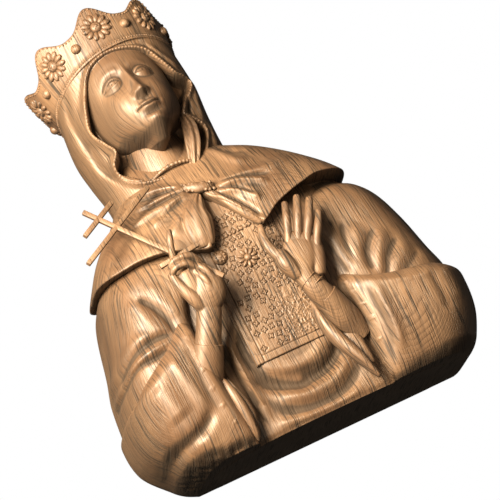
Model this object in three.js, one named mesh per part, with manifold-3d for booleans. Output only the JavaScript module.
// A carved wooden bust of a crowned figure with a veil and a short shoulder cape, and the small
// three-barred cross that it holds. Millimetres, +Z up, the front faces -Y, +X is the viewer's right.
// The origin is the middle of the flat underside.
import * as THREE from 'three';
import { mergeVertices } from 'three/addons/utils/BufferGeometryUtils.js';
import Module from 'manifold-3d';

const wasm = await Module();
wasm.setup();

const { sin, cos, abs, min, max, hypot, sqrt, pow, exp, PI } = Math;
const degrees = PI / 180;

// Driving dimensions of the block: the back is one flat face from shoulder to shoulder
const BACK = 55;
// How much of the round back is planed off
const FLATTENED = 6;
// The throat's middle, to the viewer's left of the body's middle
const NECK_X = -28;

// The head leans back and a little to the viewer's left
const HEAD_CENTRE = new THREE.Vector3(-30, -17, 393);
const HEAD_LEAN_BACK = 19 * degrees;
const HEAD_LEAN_LEFT = 4 * degrees;

// The crown is one ring of eight points, with a rosette under each point and a stud under each dip
const CROWN_CENTRE = new THREE.Vector3(-30, -2, 434);
const CROWN_LEAN_BACK = 19 * degrees;
const CROWN_LEAN_LEFT = 6 * degrees;
const CROWN_POINTS = 8;
const CROWN_RADIUS = 75;
const CROWN_FLARE = 14;
const CROWN_WALL = 6;
const CROWN_FOOT = -6;
const CROWN_DIP = 29;
const CROWN_TIP = 47;
const ROSETTE_RADIUS = 15;
const ROSETTE_HEIGHT = 21;
const STUD_RADIUS = 5.8;
const STUD_HEIGHT = 14;

// The cross is made of square sticks, and the grip leaves it a little room
const STICK = 5;
const GRIP_ROOM = 0.5;

const WOOD = { color: 0xa8784a, roughness: 0.42, metalness: 0 };
const PALE_WOOD = { color: 0xd9bd8c, roughness: 0.5, metalness: 0 };

const vec = (x, y, z) => new THREE.Vector3(x, y, z);
const clamp = (value, low, high) => min(high, max(low, value));
const mix = (from, to, share) => from + (to - from) * share;

function ease(value) {
  const share = clamp(value, 0, 1);
  return share * share * (3 - 2 * share);
}

// Rows of a key followed by sizes, read as one smooth curve through every row
function sizesAt(rows, key) {
  const last = rows.length - 1;
  const at = clamp(key, rows[0][0], rows[last][0]);
  let low = 0;
  while (low < last - 1 && at > rows[low + 1][0]) low += 1;
  const high = low + 1;
  const gap = rows[high][0] - rows[low][0];
  const t = (at - rows[low][0]) / gap;
  const slope = (row, column) => {
    const before = rows[max(row - 1, 0)];
    const after = rows[min(row + 1, last)];
    return (after[column] - before[column]) / (after[0] - before[0]) * gap;
  };
  return rows[low].slice(1).map((value, index) => {
    const column = index + 1;
    const t2 = t * t;
    const t3 = t2 * t;
    return value * (2 * t3 - 3 * t2 + 1) + slope(low, column) * (t3 - 2 * t2 + t)
      + rows[high][column] * (3 * t2 - 2 * t3) + slope(high, column) * (t3 - t2);
  });
}

// A closed body whose rings are placed by a function of the angle (0 faces the front), the share
// of the height and the share of the ring's radius, which is 0 only at the middle of the end caps
function loft(sides, steps, place, crowding = 0) {
  const geometry = new THREE.CylinderGeometry(1, 1, 1, sides, steps);
  const points = geometry.attributes.position;
  for (let i = 0; i < points.count; i += 1) {
    const x = points.getX(i);
    const z = points.getZ(i);
    const even = Math.atan2(x, z);
    const angle = even - crowding * sin(even);
    const spot = place(angle, points.getY(i) + 0.5, hypot(x, z) > 0.5 ? 1 : 0);
    points.setXYZ(i, spot.x, spot.y, spot.z);
  }
  return solid(geometry);
}

function solid(geometry) {
  const bare = geometry.index ? geometry.toNonIndexed() : geometry;
  bare.deleteAttribute('normal');
  bare.deleteAttribute('uv');
  const merged = mergeVertices(bare, 0.001);
  return new wasm.Manifold(new wasm.Mesh({
    numProp: 3,
    vertProperties: new Float32Array(merged.attributes.position.array),
    triVerts: new Uint32Array(merged.index.array),
  }));
}

function join(pieces) {
  return pieces.reduce((whole, piece) => whole.add(piece));
}

function meshOf(name, body, look) {
  const result = body.getMesh();
  const geometry = new THREE.BufferGeometry();
  geometry.setAttribute('position', new THREE.BufferAttribute(new Float32Array(result.vertProperties), 3));
  geometry.setIndex(new THREE.BufferAttribute(new Uint32Array(result.triVerts), 1));
  geometry.computeVertexNormals();
  const mesh = new THREE.Mesh(geometry, new THREE.MeshStandardMaterial(look));
  mesh.name = name;
  return mesh;
}

// One point of a body's level outline: round at the front and nearly square at the flat back.
// The corner numbers say how square: 2 is an ellipse, 6 is almost a rectangle
function outline(angle, left, right, front, back, corners) {
  const across = sin(angle);
  const ahead = cos(angle);
  const corner = ahead < 0 ? corners.back : across < 0 ? corners.left : corners.right;
  const reach = pow(pow(abs(across), corner) + pow(abs(ahead), corner), -1 / corner);
  const middle = corners.middle;
  const depth = ahead > 0 ? middle - front : back + FLATTENED - middle;
  return [
    (left + right) / 2 + across * reach * (right - left) / 2,
    min(back, middle - ahead * reach * depth),
  ];
}

// How far the folds lift the cloth towards the viewer at one spot of the front view
function foldsAt(folds, x, z) {
  let lift = 0;
  for (const { line, width, height } of folds) {
    for (let i = 0, best = Infinity, share = 0; i < line.length; i += 1) {
      if (i < line.length - 1) {
        const [x0, z0] = line[i];
        const [x1, z1] = line[i + 1];
        const run = (x1 - x0) ** 2 + (z1 - z0) ** 2;
        const t = clamp(((x - x0) * (x1 - x0) + (z - z0) * (z1 - z0)) / run, 0, 1);
        const away = hypot(x - x0 - t * (x1 - x0), z - z0 - t * (z1 - z0));
        if (away < best) {
          best = away;
          share = (i + t) / (line.length - 1);
        }
      } else {
        const fade = min(1, 5 * min(share, 1 - share) + 0.25);
        lift += height * fade * exp(-((best / width) ** 2));
      }
    }
  }
  return lift;
}

// A limb, roll of cloth or finger: a body that follows a few points, wider than it is thick
function limb(points, widths, thicknesses, side, sides, steps) {
  const path = new THREE.CatmullRomCurve3(points);
  const last = widths.length - 1;
  const sizeAt = (sizes, t) => {
    const place = t * last;
    const low = min(Math.floor(place), last - 1);
    return mix(sizes[low], sizes[low + 1], place - low);
  };
  return loft(sides, steps, (angle, share, rim) => {
    const t = 0.5 - 0.5 * cos(PI * share);
    const ahead = path.getTangent(t);
    const across = side.clone().addScaledVector(ahead, -side.dot(ahead)).normalize();
    const out = vec(0, 0, 0).crossVectors(across, ahead);
    const roundEnd = sqrt(1 - pow(abs(2 * share - 1), 6) * 0.88);
    return path.getPoint(t)
      .addScaledVector(across, rim * roundEnd * sizeAt(widths, t) * sin(angle))
      .addScaledVector(out, rim * roundEnd * sizeAt(thicknesses, t) * cos(angle));
  });
}

function lump(centre, radii) {
  const ball = new THREE.SphereGeometry(1, 8, 4);
  ball.scale(radii.x, radii.y, radii.z);
  ball.translate(centre.x, centre.y, centre.z);
  return solid(ball);
}

// Where a thing that leans back and to the left stands
function leaning(centre, back, left) {
  return new THREE.Matrix4().makeTranslation(centre.x, centre.y, centre.z)
    .multiply(new THREE.Matrix4().makeRotationY(-left))
    .multiply(new THREE.Matrix4().makeRotationX(-back));
}

const headPlace = leaning(HEAD_CENTRE, HEAD_LEAN_BACK, HEAD_LEAN_LEFT);
const crownPlace = leaning(CROWN_CENTRE, CROWN_LEAN_BACK, CROWN_LEAN_LEFT);

// The trunk of the gown: height, left, right, front
const TRUNK_TOP = 310;
const TRUNK = [
  [0, -130, 150, -66],
  [45, -145, 158, -67],
  [100, -148, 158, -72],
  [180, -140, 145, -77],
  [230, -126, 118, -76],
  [275, -100, 80, -66],
  [310, -75, 30, -45],
];
const TRUNK_CORNERS = { left: 2.6, right: 2.6, back: 7, middle: 5 };
const BELLY_FOLDS = [
  { line: [[-67, 101], [-61, 70], [-42, 52], [-14, 43], [15, 44], [34, 56]], width: 9, height: -8 },
  { line: [[-58, 28], [-28, 19], [10, 17], [38, 28]], width: 8, height: -4 },
  { line: [[-58, 125], [-70, 80], [-74, 40], [-76, 5]], width: 7, height: 6 },
];

function trunkFront(x, z) {
  const [left, right, front] = sizesAt(TRUNK, z);
  const aside = abs(x - (left + right) / 2) / ((right - left) / 2);
  const { middle } = TRUNK_CORNERS;
  return middle - (middle - front) * pow(max(0, 1 - pow(aside, 2.6)), 1 / 2.6);
}

function trunk() {
  return loft(28, 14, (angle, share, rim) => {
    const z = pow(share, 1.4) * TRUNK_TOP;
    const [left, right, front] = sizesAt(TRUNK, z);
    const [x, y] = outline(angle, left, right, front, BACK, TRUNK_CORNERS);
    const lift = cos(angle) > 0 ? foldsAt(BELLY_FOLDS, x, z) : 0;
    return vec(mix(-20, x, rim), mix(0, y - lift, rim), z);
  }, 0.75);
}

// Each arm is an upper sleeve, and a wide lower sleeve that laps over it along the crook of the
// elbow. Levels are height, left, right, front; the crook line is x, height
const LEFT_ARM = {
  corners: { left: 2.2, right: 9, back: 7, middle: 5 },
  upper: [
    [70, -190, -92, -82],
    [122, -184, -92, -85],
    [150, -176, -90, -86],
    [196, -165, -68, -83],
    [216, -157, -50, -76],
    [245, -136, -40, -58],
  ],
  lower: [
    [0, -142, -80, -76],
    [14, -165, -84, -84],
    [45, -190, -90, -93],
    [90, -193, -93, -99],
    [122, -186, -94, -97],
    [152, -178, -92, -94],
  ],
  crook: [[-192, 92], [-180, 96], [-158, 106], [-136, 120], [-113, 137], [-92, 151]],
  upperFolds: [
    { line: [[-112, 136], [-148, 137], [-188, 114]], width: 6, height: -3 },
    { line: [[-118, 130], [-162, 126], [-192, 108]], width: 6, height: 2 },
    { line: [[-132, 188], [-116, 160], [-112, 132]], width: 7, height: -4.5 },
    { line: [[-160, 206], [-160, 176], [-150, 150]], width: 8, height: -1.5 },
  ],
  lowerFolds: [
    { line: [[-134, 116], [-129, 92], [-121, 46]], width: 8, height: 2.5 },
    { line: [[-116, 50], [-138, 32], [-176, 27]], width: 8, height: -5 },
    { line: [[-162, 90], [-154, 70], [-148, 50]], width: 12, height: 3 },
  ],
};
const RIGHT_ARM = {
  corners: { left: 4, right: 2.2, back: 7, middle: 5 },
  upper: [
    [60, 64, 199, -80],
    [98, 60, 195, -80],
    [120, 56, 189, -80],
    [165, 48, 179, -77],
    [201, 44, 165, -73],
    [229, 41, 142, -57],
    [240, 40, 128, -50],
  ],
  lower: [
    [0, 58, 172, -70],
    [14, 61, 189, -82],
    [40, 63, 201, -93],
    [72, 63, 205, -99],
    [98, 60, 203, -99],
    [137, 54, 190, -94],
  ],
  crook: [[54, 138], [64, 131], [76, 121], [90, 111], [112, 102], [140, 96], [172, 92], [200, 90]],
  upperFolds: [
    { line: [[74, 192], [84, 160], [87, 122]], width: 8, height: 4 },
    { line: [[114, 164], [99, 140], [96, 112]], width: 7, height: 4.5 },
    { line: [[136, 148], [118, 127], [110, 106]], width: 7, height: 4 },
    { line: [[154, 126], [132, 110], [122, 98]], width: 7, height: 3 },
  ],
  lowerFolds: [
    { line: [[93, 98], [93, 72], [93, 46], [90, 18]], width: 7, height: 3 },
    { line: [[150, 84], [154, 66], [152, 36]], width: 7, height: -2.5 },
  ],
};
const LAP = 10;
const LAP_STARTS = 0.8;
const SLEEVE_BACK_TOP = 92;

function upperSleeve({ corners, upper, upperFolds }) {
  const bottom = upper[0][0];
  const top = upper[upper.length - 1][0];
  return loft(22, 11, (angle, share, rim) => {
    const z = mix(bottom, top, share);
    const [left, right, front] = sizesAt(upper, z);
    const [x, y] = outline(angle, left, right, front, BACK, corners);
    const lift = cos(angle) > -0.2 ? foldsAt(upperFolds, x, z) : 0;
    return vec(mix((left + right) / 2, x, rim), mix(0, y - lift, rim), z);
  }, 0.65);
}

function lowerSleeve({ corners, lower, crook, lowerFolds }) {
  const levels = lower.map(([, left, right]) => (left + right) / 2);
  const middle = levels[levels.length - 1];
  return loft(26, 12, (angle, share, rim) => {
    const widest = sizesAt(lower, SLEEVE_BACK_TOP);
    const [aside] = outline(angle, widest[0], widest[1], widest[2], BACK, corners);
    const top = cos(angle) > 0 && rim ? sizesAt(crook, aside)[0] : SLEEVE_BACK_TOP;
    const z = share * top;
    const [left, right, front] = sizesAt(lower, z);
    const [x, y] = outline(angle, left, right, front, BACK, corners);
    const inset = LAP * (1 - sqrt(1 - ease((share - LAP_STARTS) / (1 - LAP_STARTS)) ** 2));
    const lift = cos(angle) > -0.2 ? foldsAt(lowerFolds, x, z) - inset : 0;
    const pull = 1 - inset / hypot(x - middle, y) * rim;
    return vec(mix(middle, x, rim * pull), mix(0, y - lift, rim), z);
  }, 0.65);
}

// The short cape: height, left, right, front, back, squareness. Its hem dips to two corners beside
// the opening, and lies squarer over the arms than the shoulders above it
const CAPE_TOP = 340;
const CAPE = [
  [200, -162, 149, -95, 58, 4.4],
  [222, -161, 147, -93, 58, 4],
  [242, -150, 138, -88, 58, 3.4],
  [262, -135, 125, -81, 58, 2.8],
  [285, -111, 104, -69, 57, 2.4],
  [305, -94, 78, -56, 55, 2.3],
  [322, -86, 46, -44, 48, 2.3],
  [340, -76, 30, -32, 38, 2.3],
];
const CAPE_HEM = [
  [-165, 222], [-139, 219], [-111, 219], [-84, 215], [-60, 206], [-44, 200],
  [19, 202], [43, 215], [62, 222], [85, 228], [110, 233], [155, 231],
];
const BACK_HEM = 226;
const CAPE_FOLDS = [
  { line: [[-30, 271], [-55, 270], [-80, 268], [-108, 261]], width: 7, height: 5 },
  { line: [[-32, 262], [-52, 253], [-72, 243], [-92, 232]], width: 7, height: 5 },
  { line: [[-30, 278], [-53, 288], [-76, 294], [-92, 300]], width: 6, height: 4 },
  { line: [[0, 264], [28, 259], [58, 250]], width: 7, height: 5 },
  { line: [[-2, 257], [18, 244], [34, 224]], width: 7, height: 5 },
  { line: [[10, 322], [22, 306], [30, 290]], width: 8, height: 4 },
];

function capeOutline(angle, z) {
  const [left, right, front, back, square] = sizesAt(CAPE, z);
  return outline(angle, left, right, front, back, { left: square, right: square, back: 7, middle: 8 });
}

function cape() {
  const bell = loft(38, 10, (angle, share, rim) => {
    const [hemX] = capeOutline(angle, CAPE[0][0]);
    const hem = rim && cos(angle) > 0 ? sizesAt(CAPE_HEM, hemX)[0] : BACK_HEM;
    const z = mix(hem, CAPE_TOP, share);
    const [x, y] = capeOutline(angle, z);
    const lift = cos(angle) > 0 ? foldsAt(CAPE_FOLDS, x, z) : 0;
    return vec(mix(-15, x, rim), mix(0, y - lift, rim), z);
  }, 0.7);
  return bell.subtract(capeOpening());
}

// The cape parts below the brooch in an upturned V
function capeOpening() {
  const opening = new THREE.Shape([
    [-20, 263], [-25, 254], [-30, 236], [-37, 208], [-44, 190],
    [22, 190], [20, 204], [-1, 235], [-15, 254],
  ].map(([x, z]) => new THREE.Vector2(x, z)));
  const wedge = new THREE.ExtrudeGeometry(opening, { depth: 80, bevelEnabled: false });
  wedge.rotateX(PI / 2);
  wedge.translate(0, -55, 0);
  return solid(wedge);
}

// The turned-back front edges of the cape, the veil's end beside the neck, the brooch that gathers
// the cape, and the neck band
function capeTrim() {
  const across = vec(1, 0, 0);
  return [
    limb([vec(-25, -84, 260), vec(-36, -90, 246), vec(-41, -93, 234), vec(-44, -94, 218), vec(-46, -92, 203)],
      [4, 11, 15.5, 14.5, 11], [5, 6, 6.5, 6.5, 5], across, 10, 8),
    limb([vec(-12, -82, 260), vec(-1, -88, 236), vec(9, -90, 220), vec(20, -90, 203)],
      [4, 5, 6, 5], [4, 6, 6, 4], across, 8, 7),
    limb([vec(7, -46, 362), vec(9, -52, 345), vec(5, -54, 326), vec(-3, -54, 308)],
      [4, 8, 9, 5], [3, 4, 4, 3], across, 6, 5),
    limb([vec(-38, -82, 275), vec(-20, -86, 267), vec(-2, -81, 263)],
      [3, 7, 3], [3, 5, 3], vec(0, 0, 1), 8, 6),
    limb([vec(-66, -34, 297), vec(-53, -50, 305), vec(-33, -58, 310), vec(-14, -58, 309), vec(0, -51, 304),
      vec(14, -38, 296)], [2.4, 2.4], [2.4, 2.4], vec(0, 0, 1), 6, 10),
  ];
}

// The embroidered front panel with its stud and flower
const PANEL = { left: -50, right: 34, bottom: 73, top: 250, rise: 2.5, depth: 14 };
const PANEL_STUD = { x: -34, z: 191, radius: 8, rise: 5 };
const PANEL_FLOWER = { x: -8, z: 179, radius: 9, rise: 3 };

function panel() {
  const sheet = new THREE.BoxGeometry(1, 1, 1, 6, 1, 8);
  const points = sheet.attributes.position;
  for (let i = 0; i < points.count; i += 1) {
    const x = mix(PANEL.left, PANEL.right, points.getX(i) + 0.5);
    const z = mix(PANEL.bottom, PANEL.top, points.getZ(i) + 0.5);
    const face = trunkFront(x, z) - PANEL.rise;
    points.setXYZ(i, x, points.getY(i) < 0 ? face : face + PANEL.depth, z);
  }
  const knobs = [PANEL_STUD, PANEL_FLOWER].map(({ x, z, radius, rise }) => lump(
    vec(x, trunkFront(x, z) - PANEL.rise, z), vec(radius, rise, radius)));
  return [solid(sheet), ...knobs];
}

// The veil: share of its height, middle x, middle y, height, half width, front, back, lean
const VEIL = [
  [0, -22, 4, 292, 73, 56, 52, 0],
  [0.2, -25, 4, 318, 71, 58, 53, 0.1],
  [0.45, -28, 2, 352, 74, 58, 57, 0.35],
  [0.7, -29, 0, 388, 77, 64, 66, 0.7],
  [1, -30, -2, 436, 73, 73, 73, 1],
];
const VEIL_CORNERS = { left: 2.2, right: 2.2, back: 2.4, middle: 0 };
// Inside the crown the cloth is a low dome
const VEIL_CAP = { radius: CROWN_RADIUS - CROWN_WALL + 3, rise: 38 };
const VEIL_FOLDS = [
  { line: [[-93, 436], [-98, 405], [-95, 375], [-90, 345], [-78, 322], [-62, 306]], width: 5, height: -6 },
  { line: [[36, 394], [26, 372], [26, 350], [36, 335]], width: 5, height: -6 },
  { line: [[26, 425], [33, 405], [36, 385]], width: 5, height: 4 },
];
// The hood is hollowed back to this plane behind its hem, a roll that reaches back to the cloth
const HOOD_FLOOR = -34;
const HEM_WIDTHS = [4, 4, 4, 5, 5];
const HEM_DEPTHS = [5, 8, 11, 13, 8];
const HEM_BACK = 7;
const HOOD_LEFT = [
  vec(-34, -76, 449), vec(-60, -68, 440), vec(-74, -58, 420), vec(-82, -52, 398), vec(-85, -56, 380),
  vec(-77, -70, 362), vec(-71, -79, 350), vec(-79, -68, 332), vec(-60, -56, 309),
];
const HOOD_RIGHT = [
  vec(-34, -76, 449), vec(-2, -74, 444), vec(12, -64, 424), vec(24, -54, 406), vec(37, -44, 396),
  vec(24, -52, 378), vec(9, -58, 362), vec(22, -52, 349), vec(28, -48, 338), vec(18, -50, 319),
  vec(4, -50, 304),
];

function veil() {
  const cloth = loft(28, 9, (angle, share, rim) => {
    const [midX, midY, midZ, half, front, back, lean] = sizesAt(VEIL, share);
    const [x, y] = outline(angle, -half, half, -front, back, VEIL_CORNERS);
    const place = leaning(vec(midX, midY, midZ), CROWN_LEAN_BACK * lean, CROWN_LEAN_LEFT * lean);
    const spot = vec(x * rim, y * rim, 0).applyMatrix4(place);
    if (cos(angle) > 0 && rim) spot.y -= foldsAt(VEIL_FOLDS, spot.x, spot.z);
    return spot;
  }, 0.3);
  const cap = new THREE.SphereGeometry(1, 18, 6);
  cap.rotateX(PI / 2);
  cap.scale(VEIL_CAP.radius, VEIL_CAP.radius, VEIL_CAP.rise);
  cap.applyMatrix4(crownPlace);
  const edge = [...HOOD_LEFT.slice(1).reverse(), ...HOOD_RIGHT];
  const gap = new THREE.Shape(edge.map((spot) => new THREE.Vector2(spot.x, spot.z)));
  const hole = new THREE.ExtrudeGeometry(gap, { depth: 120, bevelEnabled: false });
  hole.rotateX(PI / 2);
  hole.translate(0, HOOD_FLOOR, 0);
  const hems = [HOOD_LEFT, HOOD_RIGHT].map((points) => {
    const middle = points.map((spot) => spot.clone().add(vec(0, HEM_BACK, 0)));
    return limb(middle, HEM_WIDTHS, HEM_DEPTHS, vec(1, 0, 0.3), 6, 14);
  });
  return join([cloth.add(solid(cap)).subtract(solid(hole)), ...hems]);
}

// The head on plain proportions: height above its centre, half width, front, back. The eyes lie
// halfway up, the nose ends halfway between them and the chin, the mouth a third below the nose
const HEAD = [
  [-76, 17, 52, 8],
  [-68, 26, 62, 20],
  [-56, 34, 62, 36],
  [-38, 41, 66, 54],
  [-18, 46, 67, 64],
  [2, 49, 69, 68],
  [25, 50, 70, 70],
  [48, 45, 62, 62],
  [62, 30, 42, 42],
  [70, 8, 10, 12],
];
const EYE_LEVEL = -2;
const EYE_SPACING = 19;
const NOSE_BOTTOM = -36;
const MOUTH_LEVEL = -47;

function faceRelief(x, z) {
  const side = abs(x);
  const bump = (aside, level, wide, tall) => exp(-(((side - aside) / wide) ** 2) - ((z - level) / tall) ** 2);
  const along = clamp((EYE_LEVEL + 9 - z) / (EYE_LEVEL + 9 - NOSE_BOTTOM), 0, 1);
  const nose = (3 + 11 * along) * exp(-((x / (4.5 + 3 * along)) ** 2))
    * ease((EYE_LEVEL + 22 - z) / 20) * ease((z - NOSE_BOTTOM + 4) / 6);
  const socket = -7 * bump(EYE_SPACING - 2, EYE_LEVEL + 2, 11.5, 9);
  const eyeball = 5 * bump(EYE_SPACING, EYE_LEVEL, 7, 5);
  const brow = 3 * bump(EYE_SPACING, EYE_LEVEL + 13, 13, 4);
  const cheek = 4 * bump(26, NOSE_BOTTOM + 8, 15, 15);
  const lips = 4.5 * bump(0, MOUTH_LEVEL + 2.5, 9.5, 2.6) + 5 * bump(0, MOUTH_LEVEL - 3.5, 8, 3);
  const underLip = -3 * bump(0, MOUTH_LEVEL - 9, 9, 3);
  const chin = 4 * bump(0, -65, 11, 7);
  return nose + socket + eyeball + brow + cheek + lips + underLip + chin;
}

function head() {
  const skull = loft(22, 18, (angle, share, rim) => {
    const level = mix(HEAD[0][0], HEAD[HEAD.length - 1][0], share);
    const [half, front, back] = sizesAt(HEAD, level);
    const ahead = cos(angle);
    const jaw = rim ? 22 * (1 - ahead) * ease((-level - 30) / 46) : 10;
    const x = rim * half * sin(angle);
    const y = rim * (ahead > 0 ? -pow(ahead, 0.85) * front : -ahead * back);
    const relief = rim * ease(ahead * 2.5) * faceRelief(x, level);
    return vec(x, y - relief, level + jaw).applyMatrix4(headPlace);
  }, 0.75);
  const nape = [vec(NECK_X, -2, 280), vec(NECK_X, -8, 315), vec(NECK_X, -6, 345), vec(NECK_X, 2, 375)];
  const throat = limb(nape, [44, 38, 35, 32], [46, 42, 40, 34], vec(1, 0, 0), 16, 5);
  return [skull, throat];
}

// The crown's ring: its height swings between the dips and the points, and it flares outwards
function crownHeight(turn) {
  const peak = 0.5 + 0.5 * cos(turn * CROWN_POINTS);
  return mix(CROWN_DIP, CROWN_TIP, pow(peak, 1.4));
}

function crownSpot(turn, height, out) {
  const radius = CROWN_RADIUS + CROWN_FLARE * max(height, 0) / CROWN_TIP + out;
  return vec(radius * sin(turn), -radius * cos(turn), height);
}

function crownRing() {
  const sides = CROWN_POINTS * 6;
  const ring = new THREE.LatheGeometry([
    new THREE.Vector2(1, 0), new THREE.Vector2(2, 0), new THREE.Vector2(2, 1),
    new THREE.Vector2(1, 1), new THREE.Vector2(1, 0),
  ], sides);
  const points = ring.attributes.position;
  for (let i = 0; i < points.count; i += 1) {
    const x = points.getX(i);
    const z = points.getZ(i);
    const turn = Math.atan2(x, z);
    const outer = hypot(x, z) > 1.5;
    const height = mix(CROWN_FOOT, crownHeight(turn), points.getY(i));
    const spot = crownSpot(turn, height, outer ? 0 : -CROWN_WALL);
    points.setXYZ(i, spot.x, spot.y, spot.z);
  }
  return solid(ring);
}

// A thing that stands on the crown's outer face, facing outwards
function onCrown(geometry, turn, height) {
  const spot = crownSpot(turn, height, 0);
  const tilt = Math.atan2(CROWN_FLARE, CROWN_TIP);
  geometry.rotateX(tilt);
  geometry.rotateZ(turn);
  geometry.translate(spot.x, spot.y, spot.z);
  return solid(geometry);
}

function rosette() {
  const petals = 8;
  const flower = new THREE.ConeGeometry(1, 7, petals * 2);
  const points = flower.attributes.position;
  for (let i = 0; i < points.count; i += 1) {
    const turn = Math.atan2(points.getX(i), points.getZ(i));
    const tip = 0.5 + 0.5 * cos(turn * petals);
    const reach = hypot(points.getX(i), points.getZ(i)) > 0.5 ? mix(0.6, 1, tip) * ROSETTE_RADIUS : 0;
    points.setXYZ(i, reach * sin(turn), points.getY(i), reach * cos(turn));
  }
  flower.rotateX(PI);
  flower.translate(0, -2.5, 0);
  return flower;
}

function crown() {
  const pieces = [crownRing()];
  for (let i = 0; i < CROWN_POINTS; i += 1) {
    const turn = i * 2 * PI / CROWN_POINTS;
    const between = turn + PI / CROWN_POINTS;
    const stud = new THREE.IcosahedronGeometry(STUD_RADIUS, 0);
    pieces.push(onCrown(rosette(), turn, ROSETTE_HEIGHT));
    pieces.push(onCrown(stud, between, STUD_HEIGHT));
  }
  return join(pieces).transform(crownPlace.elements);
}

// The hand that grips the cross: wrist, back of the hand, palm, the upright finger, two fingers bent
// round the staff, the thumb, then the cuff and the leaf of lining inside the wide sleeve
function grippingHand() {
  const across = vec(1, 0, 0);
  const finger = (points, radii) => limb(points, radii, radii, across, 6, 5);
  return [
    limb([vec(-104, -80, 84), vec(-89, -94, 112), vec(-76, -103, 138), vec(-70, -107, 156)],
      [15, 13.5, 13, 14], [13, 12, 11, 11], across, 10, 6),
    limb([vec(-76, -104, 138), vec(-68, -109, 158), vec(-70, -110, 184)],
      [12, 18, 12], [10, 12, 8], across, 10, 5),
    limb([vec(-80, -105, 146), vec(-81, -110, 166), vec(-83, -113, 184)],
      [9, 12, 9], [8, 9, 7], across, 8, 4),
    finger([vec(-88, -117, 189), vec(-86, -118, 203), vec(-82, -117, 216), vec(-77, -116, 229)],
      [3.8, 3.6, 3.3, 2.9]),
    finger([vec(-62, -110, 181), vec(-71, -120, 193), vec(-87, -121, 195), vec(-95, -115, 190)],
      [4.8, 4.8, 4.6, 4]),
    finger([vec(-64, -111, 174), vec(-77, -121, 187), vec(-90, -121, 188), vec(-97, -114, 183)],
      [4.8, 4.8, 4.6, 4]),
    finger([vec(-80, -106, 142), vec(-87, -113, 154), vec(-94, -115, 172), vec(-96, -114, 188)],
      [7, 6.5, 5, 4]),
    limb([vec(-90, -94, 110), vec(-99, -84, 92), vec(-114, -68, 64)],
      [15, 17, 20], [13.5, 15, 16], across, 10, 4),
    limb([vec(-93, -72, 84), vec(-90, -79, 62), vec(-87, -80, 40), vec(-85, -76, 16), vec(-84, -70, 3)],
      [2, 5.5, 6.5, 5, 2], [6, 8, 8, 7, 4], across, 6, 6),
  ];
}

// The raised hand with its palm outwards: wrist and palm, ball of the thumb, thumb, cuff, fingers
const KNUCKLES = [[36, 179], [45, 174], [52.5, 168], [60, 161]];
const FINGERTIPS = [[49, 212], [64, 213.5], [75, 206], [77.5, 190]];
const FINGER_SIZES = [3.9, 4.5, 4.5, 3.9];

function raisedHand() {
  const across = vec(1, 0, 0.4);
  const fingers = KNUCKLES.map(([x, z], i) => {
    const [tipX, tipZ] = FINGERTIPS[i];
    const radii = [FINGER_SIZES[i], FINGER_SIZES[i], FINGER_SIZES[i] * 0.86];
    const points = [vec(x - 5, -97, z - 12), vec((x + tipX) / 2, -101, (z + tipZ) / 2), vec(tipX, -98, tipZ)];
    return limb(points, radii, radii, across, 6, 4);
  });
  return [
    limb([vec(50, -84, 88), vec(37, -95, 113), vec(31, -99, 130), vec(33, -99, 146), vec(44, -98, 170)],
      [14, 13, 11, 17, 18], [12, 11, 9, 8, 6.5], across, 12, 8),
    limb([vec(26, -100, 132), vec(18, -103, 150), vec(17, -103, 166)], [7, 9, 6], [8, 9, 6], across, 8, 5),
    limb([vec(17, -103, 156), vec(11, -103, 171), vec(10.5, -101, 185), vec(14, -99, 200)],
      [7, 5.4, 4.8, 3.6], [7, 5.4, 4.8, 3.6], across, 6, 6),
    limb([vec(42, -92, 106), vec(47, -87, 95), vec(54, -78, 79), vec(64, -66, 58)],
      [14.5, 15, 16, 14], [12.6, 13, 13, 11], vec(1, 0, 0.7), 12, 5),
    ...fingers,
  ];
}

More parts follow.
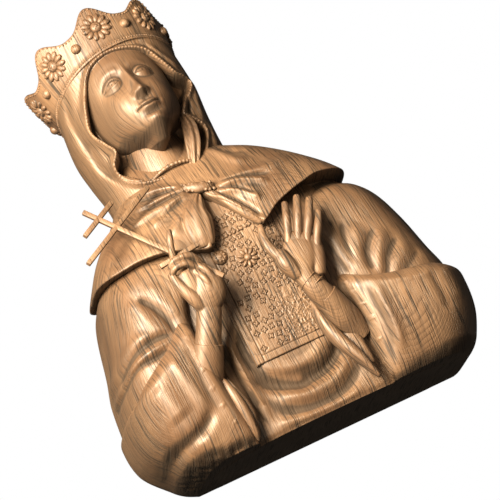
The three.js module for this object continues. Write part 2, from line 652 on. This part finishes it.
// The lining of the wide sleeve, which opens round the wrist in an outer and an inner leaf
function sleeveLining() {
  const across = vec(1, 0, 0);
  return [
    limb([vec(31, -68, 112), vec(31, -76, 84), vec(37, -80, 58), vec(46, -82, 34), vec(56, -80, 8)],
      [3, 6.5, 7.5, 6, 2.5], [8, 9, 9, 8, 5], across, 8, 9),
    limb([vec(44, -64, 108), vec(48, -70, 80), vec(52, -74, 52), vec(57, -76, 24)],
      [10, 12, 9, 4], [8, 8, 7, 4], across, 8, 7),
  ];
}

// The cross: a staff with a long bar, a short bar and a slanting foot bar, all square sticks
const STAFF_FOOT = vec(-49, -117, 161);
const STAFF_HEAD = vec(-141, -85, 292);
const BARS = [
  { share: 0.76, reach: 61, shift: 4 },
  { share: 0.89, reach: 27, shift: 0 },
];
const FOOT_BAR_START = vec(-101, -109, 199);
const FOOT_BAR_END = vec(-55, -109, 205);

function stick(from, to, thick) {
  const length = from.distanceTo(to);
  const bar = new THREE.BoxGeometry(thick, thick, length);
  const ahead = to.clone().sub(from).normalize();
  const across = vec(0, -1, 0).cross(ahead).normalize();
  const out = ahead.clone().cross(across);
  bar.applyMatrix4(new THREE.Matrix4().makeBasis(across, out, ahead));
  const middle = from.clone().lerp(to, 0.5);
  bar.translate(middle.x, middle.y, middle.z);
  return solid(bar);
}

function crossPieces(thick) {
  const ahead = STAFF_HEAD.clone().sub(STAFF_FOOT).normalize();
  const across = vec(0.62, 0.28, 0.55);
  across.addScaledVector(ahead, -across.dot(ahead)).normalize();
  const bars = BARS.map(({ share, reach, shift }) => {
    const middle = STAFF_FOOT.clone().lerp(STAFF_HEAD, share).addScaledVector(across, shift);
    const from = middle.clone().addScaledVector(across, -reach);
    return stick(from, middle.addScaledVector(across, reach), thick);
  });
  bars.push(stick(FOOT_BAR_START, FOOT_BAR_END, thick));
  return join([stick(STAFF_FOOT, STAFF_HEAD, thick), ...bars]);
}

function bust() {
  const body = join([
    trunk(),
    upperSleeve(LEFT_ARM),
    lowerSleeve(LEFT_ARM),
    upperSleeve(RIGHT_ARM),
    lowerSleeve(RIGHT_ARM),
    cape(),
    ...capeTrim(),
    ...panel(),
    veil(),
    ...head(),
    crown(),
    ...grippingHand(),
    ...raisedHand(),
    ...sleeveLining(),
  ]);
  return body.subtract(crossPieces(STICK + 2 * GRIP_ROOM));
}

const object = new THREE.Group();
object.add(meshOf('bust', bust(), WOOD));
object.add(meshOf('cross', crossPieces(STICK), PALE_WOOD));

export default object;
